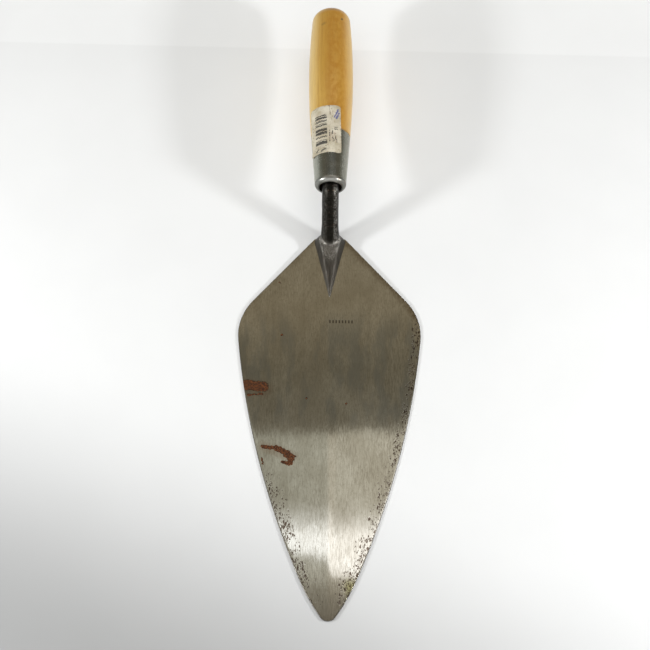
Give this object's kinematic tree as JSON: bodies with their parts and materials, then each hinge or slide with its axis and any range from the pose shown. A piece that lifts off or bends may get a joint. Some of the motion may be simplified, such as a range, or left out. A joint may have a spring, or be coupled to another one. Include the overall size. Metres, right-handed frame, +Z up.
{
  "type": "brick trowel",
  "caption": "Pointed brick trowel with a flat steel blade, a forged wedge and cranked neck, a steel ferrule and a turned wooden handle.",
  "frame": {"origin": "on the surface the blade lies on, under the centre of the whole object's box", "axes": "+Z up, +Y from the blade's point towards the butt of the handle, +X to the right seen from above with the point towards you"},
  "size_m": [0.127, 0.454, 0.0541],
  "materials": {
    "blade_steel": "ground along its length, with light rust",
    "forged_steel": "black forging scale",
    "ferrule_steel": "dull drawn steel with a bright rolled mouth",
    "handle_wood": "clear lacquer",
    "label_paper": "aged matt paper"
  },
  "bodies": {
    "root": {"blade": "blade_steel", "shank": "forged_steel", "ferrule": "ferrule_steel", "handle": "handle_wood", "label": "label_paper"}
  },
  "joints": []
}
